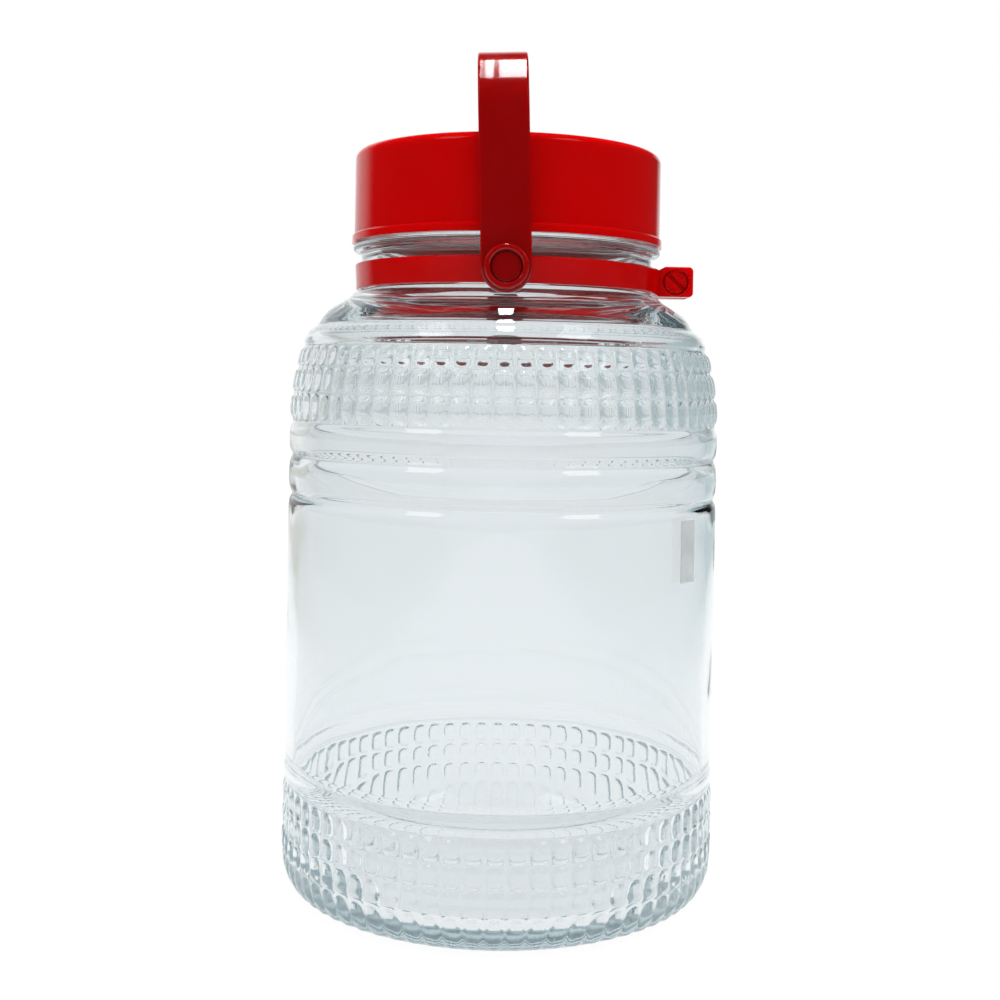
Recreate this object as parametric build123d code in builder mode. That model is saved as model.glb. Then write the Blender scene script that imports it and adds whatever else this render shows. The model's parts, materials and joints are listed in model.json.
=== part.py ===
from build123d import *
import os
from math import cos, degrees, radians, sin, sqrt

os.makedirs("parts", exist_ok=True)

# A wide-mouthed glass storage jar with a screw lid, an inner lid, a clamped neck band
# and a bail handle. Millimetres. The origin is the centre of the underside on the jar's
# axis, +Z is up, and the handle's pivots lie along Y.

# ---------------------------------------------------------------- driving dimensions
# Glass body
body_r = 100.0  # smooth wall, outside
wall = 4.5
base_thick = 8.0
heel_r = 16.0  # rounding between wall and foot
foot_width = 9.0  # flat ring that the jar stands on
punt_rise = 4.0  # hollow of the underside at its middle
belt_rise = 0.3  # crests of the patterned belts over the smooth wall
row_rise = 1.5  # crest of a belt row over the grooves beside it
heel_rim = 2.1  # straight stretch between the heel's rounding and the first row
low_rows = 3
low_row_h = 10.3
ring_gap = 1.4  # narrow groove beside a plain ring
ring_rise = 1.6  # crest of a plain ring over its edges
low_ring_h = 8.4
step_h = 2.4  # soft step where the smooth wall starts
wall_h = 117.3
upper_step_h = 3.2
upper_ring_h = 14.6
upper_row_h = (12.1, 12.4, 10.0)
belt_taper = (0.0, 0.6, 2.2, 4.7)  # how far the upper belt's grooves draw in, bottom to top
shoulder_ring_h = 7.5
shoulder_ring_slope = 4.5
shoulder_step = 1.6  # shoulder ring's upper edge to the dome
dome_h = 13.2
dome_fullness = 2.1  # how far the dome stands out from a straight cone
collar_run = 3.1  # hollow sweep between the dome and the ledge
collar_hollow = 0.6

# Neck, bead, mouth and thread
neck_r = 68.0
ledge = 3.4  # flat step on which the band sits
neck_h = 18.7
bead_rise = 4.3
bead_h = 4.0
neck_step = 2.0  # neck to the plain glass under the thread
neck_wall = 4.5  # glass under the thread
rim_h = 35.8  # bead's top to the rim
rim_round = 1.4
pitch = 8.0
turns = 1.5
thread_depth = 2.0
thread_root = 4.0
thread_crest = 2.0
thread_start = 8.3  # bead's top to the middle of the thread's first end

# Screw lid
lid_gap = 0.3  # over the bead, over the inner lid, and round moving parts
lid_wall = 2.5
lid_play = 1.2  # glass thread's crest to the inside of the lid
lid_top = 2.5
lip_rise = 1.0
lip_h = 4.0
lid_round = 3.5
panel_inset = 13.0  # lid's side to the shallow round panel in its top
panel_deep = 0.8
panel_edge = 0.5
lid_thread_play = 0.6  # lid thread's crest to the plain glass
lid_thread_root = 3.0
lid_thread_crest = 1.4

# Inner lid and gasket
gasket_h = 2.0
gasket_lap = 0.3  # how far the gasket overlaps the rim's two edges
flange_h = 2.2
flange_clear = 1.7  # flange's edge to the inside of the lid
plug_depth = 13.5
plug_wall = 1.8
plug_clear = 0.5

# Neck band with its ears and pivot bosses
band_clear = 0.1
band_h = 11.6
band_thick = 3.0
band_draft = 0.6
band_edge = 0.6
ear_reach = 16.0  # beyond the band
ear_rim = 1.0  # above and below the screw head's pocket
ear_thick = 7.5
ear_gap = 5.0
ear_round = 2.0
ear_drop = 0.8  # below the band's lower edge
ear_slope = 3.0  # run of the slope from the band's edges to the ear's
gusset_run = 9.0  # sloped root that joins an ear to the band
boss_wall = 2.5  # round the rivet
boss_lift = 0.6  # over the ledge

# Clamp screw and nut
screw_r = 2.5
screw_fit = 0.08
screw_reach = 7.9  # band's outside to the screw's axis
screw_head_r = 5.3
screw_head_h = 2.6
screw_edge = 0.5
screw_short = 0.6  # shank's end inside the rear ear's face
head_pocket_clear = 0.7
head_pocket_deep = 3.0
slot_w = 2.0
slot_deep = 1.1
slot_turn = -45.0  # degrees
nut_flats = 9.0
nut_h = 4.0
nut_fit = 0.05

# Handle and its rivets
handle_clear = 3.3  # between the lid's lip and the strap
strap_w = 21.5
strap_thick = 3.5
strap_corner = 28.0
strap_edge = 0.9
strap_drop = 0.05  # strap's round end over the foot of the glass's hollow sweep
hand_room = 33.4  # over the closed lid
handle_lean = -2.0  # degrees about +Y, as the handle stands at rest
eye_proud = 5.5
eye_step = 1.35  # strap's round end to the eye's outside
eye_head_clear = 0.4
eye_floor = 1.0  # left between recess and strap
eye_edge = 0.8
rivet_r = 4.0
rivet_fit = 0.08
rivet_head_step = 2.4  # head's edge over the shank
rivet_head_h = 2.2
rivet_edge = 0.5
rivet_play = 0.1  # under the head
rivet_deep = 5.5  # pressed into the band's boss

# Sticker
sticker_h = 26.6
sticker_w = 11.0
sticker_thick = 0.3
sticker_turn = -36.8  # degrees round the jar from +X
sticker_top = 3.1  # below the smooth wall's top edge

# ---------------------------------------------------------------- levels and radii
belt_r = body_r + belt_rise
groove_r = belt_r - row_rise
heel_z = heel_r + heel_rim
low_levels = [heel_z + i * low_row_h for i in range(low_rows + 1)]
low_ring_z = low_levels[-1] + ring_gap
wall_z = low_ring_z + low_ring_h + step_h
wall_top = wall_z + wall_h
ring_2_z = wall_top + upper_step_h
ring_1_z = ring_2_z + upper_ring_h + ring_gap
belt_z = ring_1_z + upper_ring_h + ring_gap
upper_levels = [belt_z + sum(upper_row_h[:i]) for i in range(len(upper_row_h) + 1)]
upper_radii = [groove_r - draw for draw in belt_taper]
shoulder_z = upper_levels[-1] + ring_gap
dome_z = shoulder_z + shoulder_ring_h
collar_z = dome_z + dome_h
boss_r = rivet_r + boss_wall
pivot_z = collar_z + strap_drop + strap_w / 2
ledge_z = pivot_z - boss_r - boss_lift
bead_z = ledge_z + neck_h
bead_top = bead_z + bead_h
rim_z = bead_top + rim_h
finish_r = neck_r - neck_step
mouth_r = finish_r - neck_wall
shoulder_r = upper_radii[-1]
shoulder_ring_r = shoulder_r - shoulder_ring_slope
dome_r = shoulder_ring_r - shoulder_step
ledge_r = neck_r + ledge
bead_r = neck_r + bead_rise - bead_h / 2  # where its half-round nose starts
collar_r = ledge_r + collar_run
ring_edge = body_r - ring_rise
foot_out = belt_r - heel_r
foot_in = foot_out - foot_width
inner_r = body_r - wall

lid_z = bead_top + lid_gap
flange_z = rim_z + gasket_h
lid_inner_top = flange_z + flange_h + lid_gap
lid_top_z = lid_inner_top + lid_top
lid_inner_r = finish_r + thread_depth + lid_play
lid_r = lid_inner_r + lid_wall
lid_thread_depth = lid_inner_r - finish_r - lid_thread_play
plug_r = mouth_r - plug_clear
plug_z = rim_z - plug_depth
flange_r = lid_inner_r - flange_clear

band_z = pivot_z - band_h / 2
band_r = neck_r + band_clear
band_outer = band_r + band_thick
ear_z = band_z - ear_drop
head_pocket_r = screw_head_r + head_pocket_clear
ear_h = 2 * (head_pocket_r + ear_rim)
ear_end = band_outer + ear_reach
ear_side = ear_gap / 2 + ear_thick
root_y = ear_side + gusset_run
root_x = sqrt(band_outer**2 - root_y**2)
screw_x = band_outer + screw_reach
screw_z = ear_z + ear_h / 2

strap_in = lid_r + lip_rise + handle_clear
eye_r = strap_w / 2 - eye_step
rivet_head_r = rivet_r + rivet_head_step
eye_recess_r = rivet_head_r + eye_head_clear
strap_out = strap_in + strap_thick
eye_face = strap_out + eye_proud
eye_floor_y = strap_out + eye_floor
arch_top = lid_top_z + hand_room + strap_thick
boss_face = strap_in - lid_gap
rivet_head_y = eye_floor_y + rivet_play


def rows(levels, radii, rise):
    """Arcs that each bulge outwards between two grooves."""
    for z0, z1, r0, r1 in zip(levels, levels[1:], radii, radii[1:]):
        ThreePointArc((r0, z0), ((r0 + r1) / 2 + rise, (z0 + z1) / 2), (r1, z1))


def bowed(start, end, bow):
    """An arc between two points that stands out from their chord by bow."""
    chord = Vector(*end) - Vector(*start)
    out = Vector(chord.Y, -chord.X).normalized() * bow
    middle = (Vector(*start) + Vector(*end)) * 0.5 + out
    ThreePointArc(start, (middle.X, middle.Y), end)


def thread_ridge(radius, start, root, crest, depth, outwards):
    """A helical ridge, its root sunk a little into the wall that carries it."""
    sunk = radius - 0.4 * outwards
    tip = radius + depth * outwards
    with BuildPart() as ridge:
        with BuildLine() as path:
            Helix(pitch=pitch, height=pitch * turns, radius=radius, center=(0, 0, start))
        with BuildSketch(Plane.XZ) as section:
            with BuildLine():
                Polyline(
                    (sunk, start - root / 2),
                    (tip, start - crest / 2),
                    (tip, start + crest / 2),
                    (sunk, start + root / 2),
                    close=True,
                )
            make_face()
        sweep(section.sketch, path=path.line, is_frenet=True)
    return ridge.part


# ---------------------------------------------------------------- glass jar
glass_ridge = thread_ridge(
    finish_r, bead_top + thread_start, thread_root, thread_crest, thread_depth, 1
)

with BuildPart() as jar_body:
    with BuildSketch(Plane.XZ):
        with BuildLine():
            # Outside, from the middle of the underside up to the rim
            bowed((0, punt_rise), (foot_in, 0), -punt_rise / 4)
            Line((foot_in, 0), (foot_out, 0))
            RadiusArc((foot_out, 0), (belt_r, heel_r), -heel_r)
            Line((belt_r, heel_r), (groove_r, heel_z))
            rows(low_levels, [groove_r] * (low_rows + 1), row_rise)
            Line((groove_r, low_levels[-1]), (ring_edge, low_ring_z))
            rows((low_ring_z, low_ring_z + low_ring_h), (ring_edge, ring_edge), ring_rise)
            Line((ring_edge, low_ring_z + low_ring_h), (body_r, wall_z))
            Line((body_r, wall_z), (body_r, wall_top))
            Line((body_r, wall_top), (ring_edge, ring_2_z))
            rows((ring_2_z, ring_2_z + upper_ring_h), (ring_edge, ring_edge), ring_rise)
            Line((ring_edge, ring_2_z + upper_ring_h), (ring_edge, ring_1_z))
            rows((ring_1_z, ring_1_z + upper_ring_h), (ring_edge, ring_edge), ring_rise)
            Line((ring_edge, ring_1_z + upper_ring_h), (groove_r, belt_z))
            rows(upper_levels, upper_radii, row_rise)
            Line((shoulder_r, upper_levels[-1]), (shoulder_r, shoulder_z))
            rows((shoulder_z, dome_z), (shoulder_r, shoulder_ring_r), ring_rise / 2)
            Line((shoulder_ring_r, dome_z), (dome_r, dome_z))
            bowed((dome_r, dome_z), (collar_r, collar_z), dome_fullness)
            bowed((collar_r, collar_z), (ledge_r, ledge_z), -collar_hollow)
            Polyline((ledge_r, ledge_z), (neck_r, ledge_z), (neck_r, bead_z), (bead_r, bead_z))
            rows((bead_z, bead_top), (bead_r, bead_r), bead_h / 2)
            Polyline(
                (bead_r, bead_top),
                (finish_r, bead_top),
                (finish_r, rim_z - rim_round),
                (finish_r - rim_round, rim_z),
                (mouth_r + rim_round, rim_z),
                (mouth_r, rim_z - rim_round),
                (mouth_r, ledge_z),
            )
            # Inside, from the neck down to the middle of the floor
            inner_shoulder = (shoulder_r - wall, shoulder_z)
            bowed(inner_shoulder, (mouth_r, ledge_z), dome_fullness)
            Line(inner_shoulder, (inner_r, belt_z))
            Line((inner_r, belt_z), (inner_r, base_thick + heel_r))
            RadiusArc((inner_r, base_thick + heel_r), (inner_r - heel_r, base_thick), heel_r)
            bowed((0, base_thick + punt_rise), (inner_r - heel_r, base_thick), -punt_rise / 4)
            Line((0, base_thick + punt_rise), (0, punt_rise))
        make_face()
    revolve(axis=Axis.Z)
    add(glass_ridge)
jar_body.part.label = "jar_body"
export_step(jar_body.part, "parts/jar_body.step")

# ---------------------------------------------------------------- screw lid
lid_ridge = thread_ridge(
    lid_inner_r,
    bead_top + thread_start - pitch / 2,
    lid_thread_root,
    lid_thread_crest,
    lid_thread_depth,
    -1,
)

with BuildPart() as screw_lid:
    with BuildSketch(Plane.XY.offset(lid_z)):
        Circle(lid_r + lip_rise)
    extrude(amount=lip_h)
    chamfer(screw_lid.edges().group_by(Axis.Z)[-1], lip_rise * 0.8)
    with BuildSketch(Plane.XY.offset(lid_z)):
        Circle(lid_r)
    extrude(amount=lid_top_z - lid_z)
    fillet(screw_lid.edges().group_by(Axis.Z)[-1], lid_round)
    with BuildSketch(Plane.XY.offset(lid_top_z)):
        Circle(lid_r - panel_inset)
    extrude(amount=-panel_deep, mode=Mode.SUBTRACT)
    top_circles = screw_lid.edges().filter_by(GeomType.CIRCLE).group_by(Axis.Z)[-1]
    fillet(top_circles.sort_by(SortBy.RADIUS)[0], panel_edge)
    with BuildSketch(Plane.XY.offset(lid_z)):
        Circle(lid_inner_r)
    extrude(amount=lid_inner_top - lid_z, mode=Mode.SUBTRACT)
    add(lid_ridge)
screw_lid.part.label = "screw_lid"
export_step(screw_lid.part, "parts/screw_lid.step")

# ---------------------------------------------------------------- inner lid
with BuildPart() as inner_lid:
    with BuildSketch(Plane.XY.offset(flange_z)):
        Circle(flange_r)
    extrude(amount=flange_h)
    with BuildSketch(Plane.XY.offset(plug_z)):
        Circle(plug_r)
    extrude(amount=flange_z - plug_z)
    fillet(inner_lid.edges().group_by(Axis.Z)[0], plug_wall * 0.8)
    with BuildSketch(Plane.XY.offset(plug_z + plug_wall)):
        Circle(plug_r - plug_wall)
    extrude(amount=flange_z + flange_h - plug_z - plug_wall, mode=Mode.SUBTRACT)
inner_lid.part.label = "inner_lid"
export_step(inner_lid.part, "parts/inner_lid.step")

# ---------------------------------------------------------------- sealing gasket
with BuildPart() as sealing_gasket:
    with BuildSketch(Plane.XY.offset(rim_z)):
        Circle(finish_r + gasket_lap)
        Circle(plug_r + plug_clear / 4, mode=Mode.SUBTRACT)
    extrude(amount=gasket_h)
sealing_gasket.part.label = "sealing_gasket"
export_step(sealing_gasket.part, "parts/sealing_gasket.step")

# ---------------------------------------------------------------- neck band
# The two ears as one block: its plan gives the sloped roots, its side view the slopes
# up and down from the band's edges.
with BuildPart() as ears:
    with BuildSketch(Plane.XY.offset(ear_z)):
        with BuildLine():
            Polyline(
                (root_x - band_thick, -root_y),
                (root_x, -root_y),
                (band_outer, -ear_side),
                (ear_end, -ear_side),
                (ear_end, ear_side),
                (band_outer, ear_side),
                (root_x, root_y),
                (root_x - band_thick, root_y),
                close=True,
            )
        make_face()
    extrude(amount=ear_h)
    with BuildSketch(Plane.XZ.offset(-root_y)):
        with BuildLine():
            Polyline(
                (root_x - band_thick, band_z),
                (band_outer - ear_slope, band_z),
                (band_outer, ear_z),
                (ear_end, ear_z),
                (ear_end, ear_z + ear_h),
                (band_outer + ear_slope, ear_z + ear_h),
                (band_outer, band_z + band_h),
                (root_x - band_thick, band_z + band_h),
                close=True,
            )
        make_face()
    extrude(amount=2 * root_y, mode=Mode.INTERSECT)
    fillet(ears.edges().filter_by(Axis.Y).group_by(Axis.X)[-1], ear_round)

with BuildPart() as neck_band:
    with BuildSketch(Plane.XZ):
        with BuildLine():
            Polyline(
                (band_r, band_z),
                (band_outer - band_draft, band_z),
                (band_outer, band_z + band_h),
                (band_r, band_z + band_h),
                close=True,
            )
        make_face()
    revolve(axis=Axis.Z)
    fillet(neck_band.edges(), band_edge)
    add(ears.part)
    # Pivot bosses in front and behind
    with BuildSketch(Plane.XZ.offset(-boss_face)):
        with Locations((0, pivot_z)):
            Circle(boss_r)
    extrude(amount=2 * boss_face)
    # Room for the neck, and the slit between the ears
    with BuildSketch(Plane.XY.offset(ledge_z)):
        Circle(band_r)
        Rectangle(ear_end + ear_gap, ear_gap, align=(Align.MIN, Align.CENTER))
    extrude(amount=bead_z - ledge_z, mode=Mode.SUBTRACT)
    # Head pocket in the front ear, nut pocket in the rear ear, and the hole through both
    for level, deep, round_pocket in ((ear_side, head_pocket_deep, True), (-ear_side, -nut_h, False)):
        with BuildSketch(Plane.XZ.offset(level)):
            with Locations((screw_x, screw_z)):
                if round_pocket:
                    Circle(head_pocket_r)
                else:
                    RegularPolygon(nut_flats / 2, 6, major_radius=False)
        extrude(amount=-deep, mode=Mode.SUBTRACT)
    with BuildSketch(Plane.XZ.offset(-ear_side)):
        with Locations((screw_x, screw_z)):
            Circle(screw_r + screw_fit)
    extrude(amount=2 * ear_side, mode=Mode.SUBTRACT)
    # Blind holes for the rivets
    for side in (1, -1):
        with BuildSketch(Plane.XZ.offset(side * boss_face)):
            with Locations((0, pivot_z)):
                Circle(rivet_r)
        extrude(amount=-side * rivet_deep, mode=Mode.SUBTRACT)
neck_band.part.label = "neck_band"
export_step(neck_band.part, "parts/neck_band.step")

# ---------------------------------------------------------------- clamp screw and nut
head_seat = ear_side - head_pocket_deep
with BuildPart() as clamp_screw:
    with BuildSketch(Plane.XZ.offset(head_seat)):
        with Locations((screw_x, screw_z)):
            Circle(screw_head_r)
    extrude(amount=screw_head_h)
    fillet(clamp_screw.edges().group_by(Axis.Y)[0], screw_edge)
    with BuildSketch(Plane.XZ.offset(head_seat)):
        with Locations((screw_x, screw_z)):
            Circle(screw_r)
    extrude(amount=-(head_seat + ear_side - screw_short))
    chamfer(clamp_screw.edges().group_by(Axis.Y)[-1], screw_edge)
    with BuildSketch(Plane.XZ.offset(head_seat + screw_head_h)):
        with Locations((screw_x, screw_z)):
            Rectangle(2 * head_pocket_r, slot_w, rotation=slot_turn)
    extrude(amount=-slot_deep, mode=Mode.SUBTRACT)
clamp_screw.part.label = "clamp_screw"
export_step(clamp_screw.part, "parts/clamp_screw.step")

with BuildPart() as clamp_nut:
    with BuildSketch(Plane.XZ.offset(-ear_side)):
        with Locations((screw_x, screw_z)):
            RegularPolygon(nut_flats / 2 - nut_fit, 6, major_radius=False)
            Circle(screw_r + screw_fit, mode=Mode.SUBTRACT)
    extrude(amount=nut_h)
clamp_nut.part.label = "clamp_nut"
export_step(clamp_nut.part, "parts/clamp_nut.step")

# ---------------------------------------------------------------- handle
with BuildPart() as handle:
    with BuildSketch(Plane.YZ) as strap_side:
        with Locations((0, pivot_z)):
            Rectangle(2 * strap_out, arch_top - pivot_z, align=(Align.CENTER, Align.MIN))
            Rectangle(
                2 * strap_in,
                arch_top - strap_thick - pivot_z,
                align=(Align.CENTER, Align.MIN),
                mode=Mode.SUBTRACT,
            )
        fillet(strap_side.vertices().group_by(Axis.Y)[1], strap_corner - strap_thick)
        fillet(strap_side.vertices().group_by(Axis.Y)[-1], strap_corner)
    extrude(amount=strap_w / 2, both=True)
    for side in (1, -1):
        with BuildSketch(Plane.XZ.offset(side * strap_in)):
            with Locations((0, pivot_z)):
                Circle(strap_w / 2)
        extrude(amount=side * strap_thick)
    side_edges = handle.edges().filter_by(lambda edge: abs(abs(edge.center().X) - strap_w / 2) < 0.01)
    fillet(side_edges, strap_edge)
    # Round eyes, each with a recess for the rivet's head
    for side in (1, -1):
        for level, radius, rise, mode in (
            (strap_out - strap_edge, eye_r, eye_proud + strap_edge, Mode.ADD),
            (eye_face, eye_recess_r, eye_floor_y - eye_face, Mode.SUBTRACT),
            (strap_in, rivet_r + rivet_fit, eye_floor_y - strap_in, Mode.SUBTRACT),
        ):
            with BuildSketch(Plane.XZ.offset(side * level)):
                with Locations((0, pivot_z)):
                    Circle(radius)
            extrude(amount=side * rise, mode=mode)
    rims = handle.edges().filter_by(GeomType.CIRCLE).group_by(Axis.Y)
    fillet(rims[0] + rims[-1], eye_edge)
handle_standing = handle.part.rotate(Axis((0, 0, pivot_z), (0, 1, 0)), handle_lean)
handle_standing.label = "handle"
export_step(handle_standing, "parts/handle.step")

# ---------------------------------------------------------------- handle rivets
for name, side in (("pivot_rivet_front", 1), ("pivot_rivet_rear", -1)):
    with BuildPart() as rivet:
        for level, radius, rise in (
            (boss_face - rivet_deep, rivet_r, rivet_head_y - boss_face + rivet_deep),
            (rivet_head_y, rivet_head_r, rivet_head_h),
        ):
            with BuildSketch(Plane.XZ.offset(side * level)):
                with Locations((0, pivot_z)):
                    Circle(radius)
            extrude(amount=side * rise)
        head_edges = rivet.edges().filter_by(GeomType.CIRCLE).group_by(Axis.Y)
        fillet(head_edges[0 if side > 0 else -1], rivet_edge)
    rivet.part.label = name
    export_step(rivet.part, f"parts/{name}.step")

# ---------------------------------------------------------------- sticker on the glass
sticker_arc = degrees(sticker_w / body_r)
sticker_start = radians(sticker_turn - sticker_arc / 2)
sticker_plane = Plane(
    origin=(0, 0, 0),
    x_dir=(cos(sticker_start), sin(sticker_start), 0),
    z_dir=(sin(sticker_start), -cos(sticker_start), 0),
)
with BuildPart() as label_sticker:
    with BuildSketch(sticker_plane):
        with Locations((body_r, wall_top - sticker_top)):
            Rectangle(sticker_thick, sticker_h, align=(Align.MIN, Align.MAX))
    revolve(axis=Axis.Z, revolution_arc=sticker_arc)
label_sticker.part.label = "label_sticker"
export_step(label_sticker.part, "parts/label_sticker.step")
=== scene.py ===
import json
from math import atan2, pi, radians

import bmesh
import bpy
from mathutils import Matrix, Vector

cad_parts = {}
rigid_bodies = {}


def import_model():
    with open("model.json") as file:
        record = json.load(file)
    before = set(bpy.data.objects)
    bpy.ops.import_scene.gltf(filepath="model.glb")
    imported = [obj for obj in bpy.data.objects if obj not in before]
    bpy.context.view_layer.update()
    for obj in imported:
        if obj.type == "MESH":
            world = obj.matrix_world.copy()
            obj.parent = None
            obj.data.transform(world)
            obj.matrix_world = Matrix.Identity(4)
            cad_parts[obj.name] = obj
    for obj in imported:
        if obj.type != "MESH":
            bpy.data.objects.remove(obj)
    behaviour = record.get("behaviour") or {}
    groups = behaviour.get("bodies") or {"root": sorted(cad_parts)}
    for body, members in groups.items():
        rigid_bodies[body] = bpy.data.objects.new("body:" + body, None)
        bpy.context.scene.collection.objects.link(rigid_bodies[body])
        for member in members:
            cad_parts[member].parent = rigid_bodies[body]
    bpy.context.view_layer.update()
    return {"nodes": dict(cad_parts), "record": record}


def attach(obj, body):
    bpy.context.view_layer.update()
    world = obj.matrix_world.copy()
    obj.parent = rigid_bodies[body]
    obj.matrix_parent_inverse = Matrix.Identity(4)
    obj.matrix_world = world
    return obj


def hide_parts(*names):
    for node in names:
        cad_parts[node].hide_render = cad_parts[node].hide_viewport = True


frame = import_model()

MM = 0.001
FULL_TURN = 2 * pi
MERGE_DISTANCE = 0.01 * MM


# ---------------------------------------------------------------- modelling helpers
def deselect():
    """Nothing selected in object mode."""
    if bpy.context.object and bpy.context.object.mode != "OBJECT":
        bpy.ops.object.mode_set(mode="OBJECT")
    bpy.ops.object.select_all(action="DESELECT")


def edit(piece, kind="FACE"):
    """Edit mode on one piece, nothing in it selected."""
    deselect()
    piece.select_set(True)
    bpy.context.view_layer.objects.active = piece
    bpy.ops.object.mode_set(mode="EDIT")
    bpy.ops.mesh.select_mode(type=kind)
    bpy.ops.mesh.select_all(action="DESELECT")


def pick(piece, wanted, part="faces"):
    """Select the faces, edges or vertices that wanted(element) is true for."""
    bpy.ops.mesh.select_all(action="DESELECT")
    mesh = bmesh.from_edit_mesh(piece.data)
    for element in getattr(mesh, part):
        if wanted(element):
            element.select_set(True)
    mesh.select_flush(True)
    bmesh.update_edit_mesh(piece.data)


def finish_edit():
    bpy.ops.object.mode_set(mode="OBJECT")


def apply_modifier(piece, name, kind, **settings):
    """Add one modifier, set it and apply it."""
    deselect()
    piece.select_set(True)
    bpy.context.view_layer.objects.active = piece
    modifier = piece.modifiers.new(name, kind)
    for key, value in settings.items():
        setattr(modifier, key, value)
    bpy.ops.object.modifier_apply(modifier=name)


def subdivide(piece, levels):
    apply_modifier(piece, "smooth", "SUBSURF", levels=levels, render_levels=levels)


def smooth(piece, angle=40):
    deselect()
    piece.select_set(True)
    bpy.context.view_layer.objects.active = piece
    bpy.ops.object.shade_smooth_by_angle(angle=radians(angle))


def draw_outline(name, outline):
    """A piece that is one open line of edges, drawn point by point in the XZ plane."""
    deselect()
    bpy.ops.mesh.primitive_plane_add(size=MM)
    piece = bpy.context.object
    piece.name = piece.data.name = name
    bpy.ops.object.mode_set(mode="EDIT")
    bpy.ops.mesh.select_mode(type="VERT")
    bpy.ops.mesh.select_all(action="SELECT")
    bpy.ops.mesh.merge(type="CENTER")
    points = [Vector((r * MM, 0, z * MM)) for r, z in outline]
    bpy.ops.transform.translate(value=points[0])
    for start, end in zip(points, points[1:]):
        bpy.ops.mesh.extrude_region_move(TRANSFORM_OT_translate={"value": end - start})
    return piece


def turn_on_lathe(name, outline, steps):
    """The outline spun a full turn round the jar's axis and closed at its seam."""
    piece = draw_outline(name, outline)
    bpy.ops.mesh.select_all(action="SELECT")
    bpy.ops.mesh.spin(steps=steps, angle=FULL_TURN, center=(0, 0, 0), axis=(0, 0, 1))
    bpy.ops.mesh.select_all(action="SELECT")
    bpy.ops.mesh.remove_doubles(threshold=MERGE_DISTANCE)
    bpy.ops.mesh.normals_make_consistent(inside=False)
    finish_edit()
    return piece


# ---------------------------------------------------------------- glass jar
PILLOWS = 70  # round the jar, in every row
COLUMNS = 2 * PILLOWS
PILLOW_STEPS = ((0.85, 1.2), (1.1, 0.44))  # inset and rise of a pillow's flank and of its top
PILLOW_CROWN = 0.3  # further rise of its middle
LOWER_ROUNDING = 1  # rounds of smoothing, which draw a pillow's corners in
UPPER_ROUNDING = 2

THREAD_START = 305.0
THREAD_PITCH = 8.0
THREAD_TURNS = 1.5
THREAD_LEVELS = (300.0, 324.0)
THREAD_CORE = 65.0  # just inside the plain glass that carries the thread
THREAD_HALF_WIDTHS = (2.1, 1.1)
THREAD_RISE = 1.0  # for each of the two steps

# Grooves between the pillow rows, in millimetres: heights, and radii of the glass under them
HEEL_ROW = ((92.6, 2.6), (97.6, 9.6), (98.6, 17.9))
LOWER_ROWS = (17.9, 28.4, 38.7, 49.0)
UPPER_ROWS = (215.0, 227.2, 238.8, 248.2)
UPPER_GROOVES = (98.5, 98.0, 96.0, 93.6)
LOWER_GROOVE = 98.6
OUTER_FACE = 0.96 * UPPER_GROOVES[-1]  # all of both belts' outer faces lie beyond this radius


def with_middles(heights, radii):
    """Groove points with one more point half-way up each row."""
    points = [(radii[0], heights[0])]
    for i in range(1, len(heights)):
        points.append(((radii[i - 1] + radii[i]) / 2, (heights[i - 1] + heights[i]) / 2))
        points.append((radii[i], heights[i]))
    return points


def jar_outline():
    """The glass from the middle of its underside up to the rim and down the inside."""
    underside = [(0, 4.0), (40, 3.2), (66, 1.2), (74, 0.1), (79, 0.0), (84.5, 0.0), (89.6, 0.9)]
    lower_belt = [*HEEL_ROW[:2], *with_middles(LOWER_ROWS, [LOWER_GROOVE] * len(LOWER_ROWS))]
    low_ring = [(98.3, 50.0), (99.7, 51.7), (100, 54.4), (99.7, 57.4), (98.5, 59.2), (99.6, 61.0)]
    wall = [(100, 64), (100, 120), (100, 175), (99.7, 178.3), (98.4, 180.0), (98.4, 181.4)]
    rings = [(99.7, 183.2), (100, 189.8), (99.7, 196.2), (98.3, 197.8), (98.3, 199.2)]
    rings += [(99.7, 201.0), (100, 206.4), (99.7, 211.9), (98.3, 213.7)]
    upper_belt = with_middles(UPPER_ROWS, UPPER_GROOVES)
    shoulder = [(93.6, 249.3), (94.2, 250.6), (93.0, 254.0), (90.6, 256.6), (88.6, 257.3)]
    dome = [(87.6, 258.4), (85.6, 262.6), (81.6, 266.6), (76.6, 269.4), (73.6, 271.0), (71.8, 273.0)]
    neck = [(71.2, 273.9), (70.2, 274.0), (68.3, 274.1), (68.0, 275.2), (68.0, 291.4)]
    bead = [(68.3, 292.6), (70.8, 292.7), (72.2, 293.7), (72.2, 295.7), (70.8, 296.7), (66.6, 296.8)]
    finish = [(66, 297.8), *((66, z) for z in range(301, 323)), (66, 330.4)]
    finish += [(65.4, 331.9), (64.2, 332.5), (63.2, 332.5)]
    mouth = [(62.0, 331.9), (61.5, 330.4), (61.5, 300), (61.6, 278), (62.8, 272.4)]
    inside = [(68, 267.4), (77, 263.6), (83.6, 258.6), (88.4, 251.2), (92.4, 236), (95.4, 215)]
    inside += [(95.5, 150), (95.5, 60), (95.5, 26)]
    floor = [(93.6, 17.0), (88.6, 10.8), (80, 8.1), (45, 10.6), (0, 12)]
    return [
        *underside, *lower_belt, *low_ring, *wall, *rings, *upper_belt, *shoulder, *dome,
        *neck, *bead, *finish, *mouth, *inside, *floor,
    ]


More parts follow.
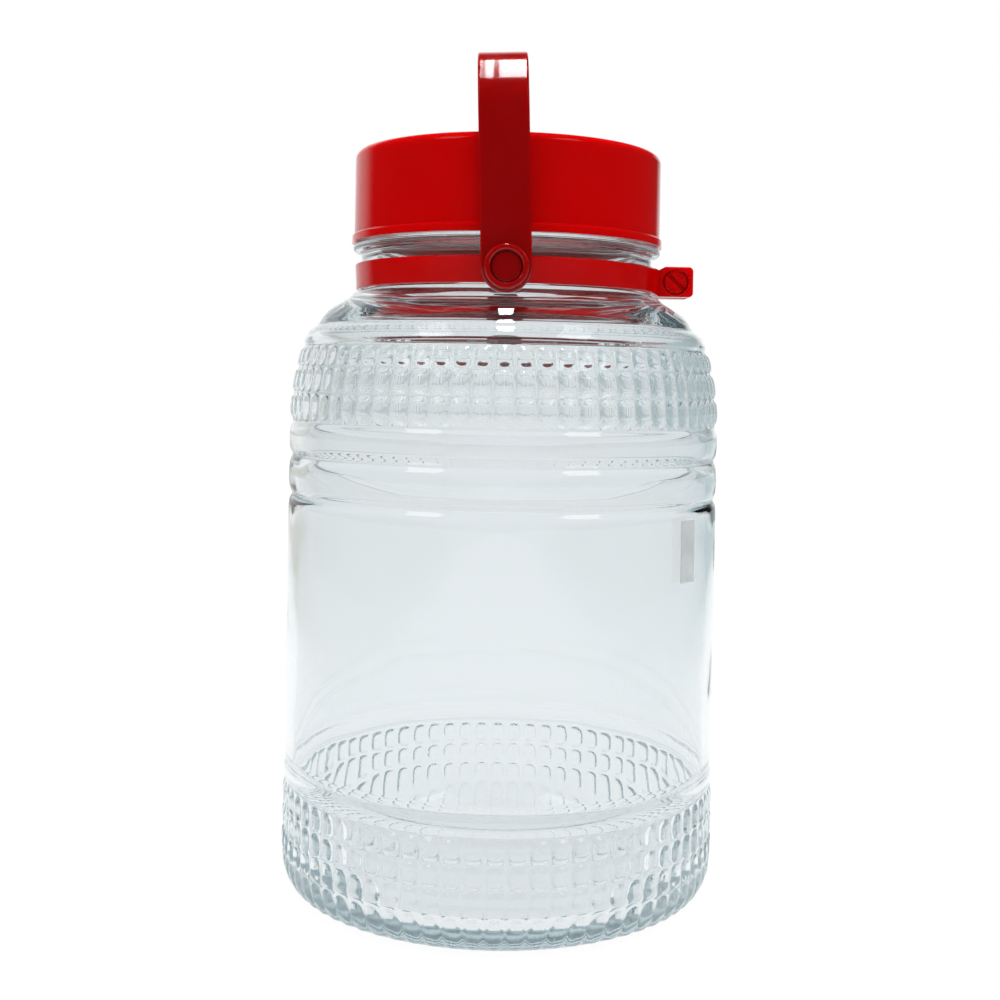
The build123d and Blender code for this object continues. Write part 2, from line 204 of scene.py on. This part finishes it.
def crown(jar, rounding):
    """Each selected block of four faces pushed out at its middle, and drawn in at its corners."""
    middles = set()
    for vert in bmesh.from_edit_mesh(jar.data).verts:
        if vert.select and all(face.select for face in vert.link_faces):
            middles.add(vert.index)
    bpy.ops.mesh.select_mode(type="VERT")
    pick(jar, lambda vert: vert.index in middles, "verts")
    bpy.ops.transform.shrink_fatten(value=PILLOW_CROWN * MM)
    bpy.ops.mesh.select_more()
    bpy.ops.mesh.select_more()
    bpy.ops.mesh.vertices_smooth(factor=0.5, repeat=rounding)
    bpy.ops.mesh.select_mode(type="FACE")


def press_pillows(jar):
    """Every row's cells raised as soft cushions of glass, each with its own groove."""
    rows = [(HEEL_ROW[0][1], HEEL_ROW[2][1])]
    rows += list(zip(LOWER_ROWS, LOWER_ROWS[1:])) + list(zip(UPPER_ROWS, UPPER_ROWS[1:]))
    turn = FULL_TURN / PILLOWS
    edit(jar)
    for low, high in rows:
        for parity in (0, 1):
            def in_cell(face, low=low, high=high, parity=parity):
                middle = face.calc_center_median() / MM
                if not low < middle.z < high or middle.xy.length < OUTER_FACE:
                    return False
                column = int((atan2(middle.y, middle.x) % FULL_TURN) / turn)
                return column % 2 == parity and face.normal.xy.dot(middle.xy) > 0

            pick(jar, in_cell)
            for inset, rise in PILLOW_STEPS:
                bpy.ops.mesh.inset(thickness=inset * MM, use_even_offset=True)
                bpy.ops.transform.shrink_fatten(value=rise * MM)
            crown(jar, LOWER_ROUNDING if high <= LOWER_ROWS[-1] else UPPER_ROUNDING)
    finish_edit()


def press_thread(jar):
    """One and a half turns of rounded ridge, right-handed, raised round the plain glass."""
    edit(jar, "VERT")
    for half_width in THREAD_HALF_WIDTHS:
        def on_ridge(vert, half_width=half_width):
            place = vert.co / MM
            if not THREAD_LEVELS[0] < place.z < THREAD_LEVELS[1] or place.xy.length < THREAD_CORE:
                return False
            part_turn = (atan2(place.y, place.x) % FULL_TURN) / FULL_TURN
            for turn in (part_turn, part_turn + 1):
                level = THREAD_START + THREAD_PITCH * turn
                if turn <= THREAD_TURNS and abs(place.z - level) < half_width:
                    return True
            return False

        pick(jar, on_ridge, "verts")
        bpy.ops.transform.shrink_fatten(value=THREAD_RISE * MM)
    finish_edit()


def make_jar():
    jar = turn_on_lathe("glass_jar", jar_outline(), COLUMNS)
    press_pillows(jar)
    press_thread(jar)
    subdivide(jar, 1)
    smooth(jar, 60)
    return jar


glass_jar = make_jar()
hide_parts("jar_body")
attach(glass_jar, "jar")


# ---------------------------------------------------------------- materials
GLASS_TINT = (0.865, 0.890, 0.900)
GLASS_DEPTH_TINT = (0.25, 0.50, 0.56)
GLASS_DEPTH_DENSITY = 4.0
GLASS_WAVES = 35.0  # waves per metre, and their depth in millimetres
GLASS_WAVE_DEPTH = 0.3
STREAK_SCALE = (160.0, 6.0, 6.0)  # ripples per metre across and along the handle's strap
STREAK_DEPTH = 0.25


def new_material(name):
    material = bpy.data.materials.new(name)
    material.use_nodes = True
    nodes = material.node_tree.nodes
    return material, nodes, material.node_tree.links, nodes["Principled BSDF"]


def noise(nodes, links, scale, detail, coordinates):
    texture = nodes.new("ShaderNodeTexNoise")
    texture.inputs["Scale"].default_value = scale
    texture.inputs["Detail"].default_value = detail
    links.new(coordinates, texture.inputs["Vector"])
    return texture.outputs["Fac"]


def spread(nodes, links, value, low, high):
    """A pattern's middle range stretched between two values."""
    scale = nodes.new("ShaderNodeMapRange")
    scale.inputs["From Min"].default_value = 0.3
    scale.inputs["From Max"].default_value = 0.7
    scale.inputs["To Min"].default_value = low
    scale.inputs["To Max"].default_value = high
    links.new(value, scale.inputs["Value"])
    return scale.outputs["Result"]


def blended(nodes, links, factor, below, above):
    """Two colours, or what makes them, mixed by the factor."""
    mix = nodes.new("ShaderNodeMix")
    mix.data_type = "RGBA"
    links.new(factor, mix.inputs["Factor"])
    for socket, colour in (("A", below), ("B", above)):
        if isinstance(colour, tuple):
            mix.inputs[socket].default_value = (*colour, 1)
        else:
            links.new(colour, mix.inputs[socket])
    return mix.outputs["Result"]


def uneven(nodes, links, place, scale, detail, low, high):
    """A value that drifts between low and high over the surface."""
    return spread(nodes, links, noise(nodes, links, scale, detail, place), low, high)


def clouded(nodes, links, place, scale, detail, dark, light):
    """Two shades of a colour in soft clouds."""
    return blended(nodes, links, uneven(nodes, links, place, scale, detail, 0, 1), dark, light)


def bump(nodes, links, height, distance, strength=1.0, below=None):
    node = nodes.new("ShaderNodeBump")
    node.inputs["Strength"].default_value = strength
    node.inputs["Distance"].default_value = distance
    links.new(height, node.inputs["Height"])
    if below:
        links.new(below, node.inputs["Normal"])
    return node.outputs["Normal"]


def glass_material():
    """Pressed soda-lime glass: clear, faintly sea-green in depth, its surface slightly wavy."""
    material, nodes, links, shader = new_material("clear_pressed_glass")
    place = nodes.new("ShaderNodeTexCoord").outputs["Object"]
    shader.inputs["Base Color"].default_value = (*GLASS_TINT, 1)
    shader.inputs["Roughness"].default_value = 0.0
    shader.inputs["IOR"].default_value = 1.51
    shader.inputs["Transmission Weight"].default_value = 1.0
    waves = bump(nodes, links, noise(nodes, links, GLASS_WAVES, 1.0, place), GLASS_WAVE_DEPTH * MM)
    links.new(waves, shader.inputs["Normal"])
    depth = nodes.new("ShaderNodeVolumeAbsorption")
    depth.inputs["Color"].default_value = (*GLASS_DEPTH_TINT, 1)
    depth.inputs["Density"].default_value = GLASS_DEPTH_DENSITY
    links.new(depth.outputs["Volume"], nodes["Material Output"].inputs["Volume"])
    return material


def red_plastic(name, dark, light, gloss, depth, streaks=False):
    """Glossy moulded polypropylene: light sinks in by depth, and its skin is slightly uneven."""
    material, nodes, links, shader = new_material(name)
    place = nodes.new("ShaderNodeTexCoord").outputs["Object"]
    links.new(clouded(nodes, links, place, 9.0, 2.0, dark, light), shader.inputs["Base Color"])
    links.new(uneven(nodes, links, place, 60.0, 4.0, 0.08, 0.16), shader.inputs["Roughness"])
    shader.inputs["Specular IOR Level"].default_value = gloss
    shader.inputs["IOR"].default_value = 1.49
    shader.inputs["Subsurface Weight"].default_value = 0.8
    shader.inputs["Subsurface Radius"].default_value = (1.0, 0.06, 0.06)
    shader.inputs["Subsurface Scale"].default_value = depth
    skin = bump(nodes, links, noise(nodes, links, 900.0, 2.0, place), 0.02 * MM, 0.5)
    skin = bump(nodes, links, noise(nodes, links, 25.0, 1.0, place), 0.2 * MM, 0.25, skin)
    if streaks:
        lengthwise = nodes.new("ShaderNodeMapping")
        lengthwise.inputs["Scale"].default_value = STREAK_SCALE
        links.new(place, lengthwise.inputs["Vector"])
        ripple = noise(nodes, links, 1.0, 1.0, lengthwise.outputs["Vector"])
        skin = bump(nodes, links, ripple, STREAK_DEPTH * MM, 1.0, skin)
    links.new(skin, shader.inputs["Normal"])
    return material


def red_plastic_material():
    """The lid's, band's and screw's plastic."""
    dark, light = (0.50, 0.0004, 0.0006), (0.60, 0.0008, 0.0012)
    return red_plastic("red_moulded_plastic", dark, light, 0.18, 8 * MM)


def handle_plastic_material():
    """The handle's and rivets' plastic, rippled along the strap. Its red is deeper than the lid's,
    partly as painted shade for the dimmer light that falls on the strap.
    """
    # painted shade: these reds are darker than the lid's, partly to stand for the strap's dimmer light;
    # the clouds between them are the plastic's own uneven tone
    dark, light = (0.26, 0.0005, 0.0008), (0.32, 0.001, 0.0015)
    return red_plastic("red_handle_plastic_with_painted_shade", dark, light, 0.3, 6 * MM, streaks=True)


def white_plastic_material():
    """Natural polyethylene of the inner lid and the nut: soft, milky and see-through."""
    material, nodes, links, shader = new_material("white_soft_plastic")
    place = nodes.new("ShaderNodeTexCoord").outputs["Object"]
    dark, light = (0.90, 0.90, 0.88), (0.95, 0.95, 0.94)
    links.new(clouded(nodes, links, place, 14.0, 3.0, dark, light), shader.inputs["Base Color"])
    links.new(uneven(nodes, links, place, 80.0, 3.0, 0.2, 0.3), shader.inputs["Roughness"])
    shader.inputs["Transmission Weight"].default_value = 0.85
    shader.inputs["IOR"].default_value = 1.5
    return material


def seal_material():
    """Matt silicone of the gasket."""
    material, nodes, links, shader = new_material("seal_silicone")
    place = nodes.new("ShaderNodeTexCoord").outputs["Object"]
    shader.inputs["Base Color"].default_value = (0.78, 0.78, 0.75, 1)
    links.new(uneven(nodes, links, place, 200.0, 3.0, 0.55, 0.7), shader.inputs["Roughness"])
    return material


def sticker_material():
    """Plain pale film with a soft sheen."""
    material, nodes, links, shader = new_material("sticker_film")
    place = nodes.new("ShaderNodeTexCoord").outputs["Object"]
    dark, light = (0.55, 0.56, 0.56), (0.66, 0.67, 0.67)
    links.new(clouded(nodes, links, place, 120.0, 4.0, dark, light), shader.inputs["Base Color"])
    shader.inputs["Roughness"].default_value = 0.4
    return material


def dress(piece, material):
    """The piece's only material."""
    piece.data.materials.clear()
    piece.data.materials.append(material)


SLOT_MATERIALS = {
    "glass": glass_material(),
    "red_plastic": red_plastic_material(),
    "handle_plastic": handle_plastic_material(),
    "white_plastic": white_plastic_material(),
    "seal_rubber": seal_material(),
    "sticker": sticker_material(),
}
for subpart in frame["record"]["subparts"]:
    dress(frame["nodes"][subpart["node"]], SLOT_MATERIALS[subpart["material_slot"]])
dress(glass_jar, SLOT_MATERIALS["glass"])


# ---------------------------------------------------------------- floor, light and camera
GLASS_BOUNCES = 40

# Colours of the room, as the glass and the lit surfaces see it. The camera sees white all round
WHITE_WALL = (1.0, 1.0, 1.0)
WARM_WALL = (0.64, 0.64, 0.60)
COOL_WALL = (0.52, 0.61, 0.63)
FRONT_ROOM = (0.58, 0.60, 0.61)
CEILING = (0.80, 0.81, 0.82)
DARK_CARDS = (0.05, 0.05, 0.05)  # what a glossy surface mirrors in place of all but the white wall

# Where each one fades into the next, as parts of a direction one long
WHITE_WALL_SIDE = (-0.24, 0.97, 0.0)  # straight behind the jar and a little to the left
WHITE_WALL_FADE = (0.66, 0.84)
SIDE_FADE = (-0.4, 0.4)
FRONT_FADE = (-0.75, -0.35)
CEILING_FADE = (0.45, 0.8)

FLOOR_SIZE = 60.0  # metres, so that its edge is too far off to be seen
FLOOR_DROP = 0.2 * MM
FLOOR_GLOW = 0.94
TABLE_FADE = (0.40, 0.80)  # metres to either side of the jar

# Place, width and height in metres, and power in watts
LAMPS_AIM = (0, 0, 0.25)
SOFTBOXES = {
    "softbox_above": ((0, -0.12, 1.25), 0.10, 0.75, 8),
    "softbox_left": ((-0.95, -0.95, 1.15), 0.5, 0.5, 2.2),
    "softbox_right": ((0.95, -0.95, 1.15), 0.5, 0.5, 2.2),
}

CAMERA_PLACE = (0, -0.650, 0.2325)
CAMERA_ROLL = -1.07  # degrees
CAMERA_LENS = 49.46  # on a sensor 36 mm wide
CAMERA_SHIFT = (-0.0043, -0.116)


def faded(nodes, links, value, fade):
    """Nothing before the fade's start, all after its end, soft between."""
    scale = nodes.new("ShaderNodeMapRange")
    scale.interpolation_type = "SMOOTHSTEP"
    scale.inputs["From Min"].default_value, scale.inputs["From Max"].default_value = fade
    links.new(value, scale.inputs["Value"])
    return scale.outputs["Result"]


def side_walls(nodes, links, sideways):
    """Warm at the left, cool at the right."""
    return blended(nodes, links, faded(nodes, links, sideways, SIDE_FADE), WARM_WALL, COOL_WALL)


def make_floor():
    """A pale, evenly lit table. Seen through glass, its far sides take the walls' tints."""
    deselect()
    bpy.ops.mesh.primitive_plane_add(size=FLOOR_SIZE, location=(0, 0, -FLOOR_DROP))
    floor = bpy.context.object
    floor.name = "studio_floor"
    material, nodes, links, shader = new_material("pale_floor")
    shader.inputs["Base Color"].default_value = (0.12, 0.12, 0.12, 1)
    shader.inputs["Roughness"].default_value = 0.8
    shader.inputs["Specular IOR Level"].default_value = 0.0
    place = nodes.new("ShaderNodeSeparateXYZ")
    links.new(nodes.new("ShaderNodeTexCoord").outputs["Object"], place.inputs["Vector"])
    reach = nodes.new("ShaderNodeMath")
    reach.operation = "ABSOLUTE"
    links.new(place.outputs["X"], reach.inputs[0])
    walls = side_walls(nodes, links, place.outputs["X"])
    away = faded(nodes, links, reach.outputs["Value"], TABLE_FADE)
    table = blended(nodes, links, away, WHITE_WALL, walls)
    path = nodes.new("ShaderNodeLightPath")
    seen = blended(nodes, links, path.outputs["Is Camera Ray"], table, WHITE_WALL)
    links.new(seen, shader.inputs["Emission Color"])
    shader.inputs["Emission Strength"].default_value = FLOOR_GLOW
    dress(floor, material)


def soft_light(name, place, width, height, power):
    """A rectangular lamp turned towards the jar."""
    deselect()
    bpy.ops.object.light_add(type="AREA", location=place)
    lamp = bpy.context.object
    lamp.name = name
    lamp.data.shape = "RECTANGLE"
    lamp.data.size = width
    lamp.data.size_y = height
    lamp.data.energy = power
    lamp.rotation_euler = (Vector(LAMPS_AIM) - Vector(place)).to_track_quat("-Z", "Y").to_euler()


def make_studio():
    """A white wall behind the jar, a warm one at its left, a cool one at its right, a room before it."""
    world = bpy.data.worlds.new("studio")
    bpy.context.scene.world = world
    world.use_nodes = True
    nodes, links = world.node_tree.nodes, world.node_tree.links
    towards = nodes.new("ShaderNodeSeparateXYZ")
    direction = nodes.new("ShaderNodeTexCoord").outputs["Generated"]
    links.new(direction, towards.inputs["Vector"])
    sides = side_walls(nodes, links, towards.outputs["X"])
    beyond_front = faded(nodes, links, towards.outputs["Y"], FRONT_FADE)
    room = blended(nodes, links, beyond_front, FRONT_ROOM, sides)
    overhead = faded(nodes, links, towards.outputs["Z"], CEILING_FADE)
    room = blended(nodes, links, overhead, room, CEILING)
    path = nodes.new("ShaderNodeLightPath")
    gloss = nodes.new("ShaderNodeMath")
    gloss.operation = "MULTIPLY"
    links.new(path.outputs["Is Glossy Ray"], gloss.inputs[0])
    links.new(path.outputs["Is Reflection Ray"], gloss.inputs[1])
    room = blended(nodes, links, gloss.outputs["Value"], room, DARK_CARDS)
    behind = nodes.new("ShaderNodeVectorMath")
    behind.operation = "DOT_PRODUCT"
    behind.inputs[1].default_value = WHITE_WALL_SIDE
    links.new(direction, behind.inputs[0])
    straight_behind = faded(nodes, links, behind.outputs["Value"], WHITE_WALL_FADE)
    room = blended(nodes, links, straight_behind, room, WHITE_WALL)
    seen = blended(nodes, links, path.outputs["Is Camera Ray"], room, WHITE_WALL)
    links.new(seen, nodes["Background"].inputs["Color"])


def make_camera():
    deselect()
    bpy.ops.object.camera_add(location=CAMERA_PLACE, rotation=(radians(90), radians(CAMERA_ROLL), 0))
    camera = bpy.context.object
    camera.data.lens = CAMERA_LENS
    camera.data.sensor_width = 36
    camera.data.shift_x, camera.data.shift_y = CAMERA_SHIFT
    camera.data.clip_start = 0.01
    bpy.context.scene.camera = camera


make_floor()
make_studio()
for name, (place, width, height, power) in SOFTBOXES.items():
    soft_light(name, place, width, height, power)
make_camera()
bpy.context.scene.view_settings.view_transform = "Standard"
# Light is passed on inside the thick glass many times before it leaves, so its paths may be long
for limit in ("max_bounces", "transmission_bounces", "glossy_bounces"):
    setattr(bpy.context.scene.cycles, limit, GLASS_BOUNCES)
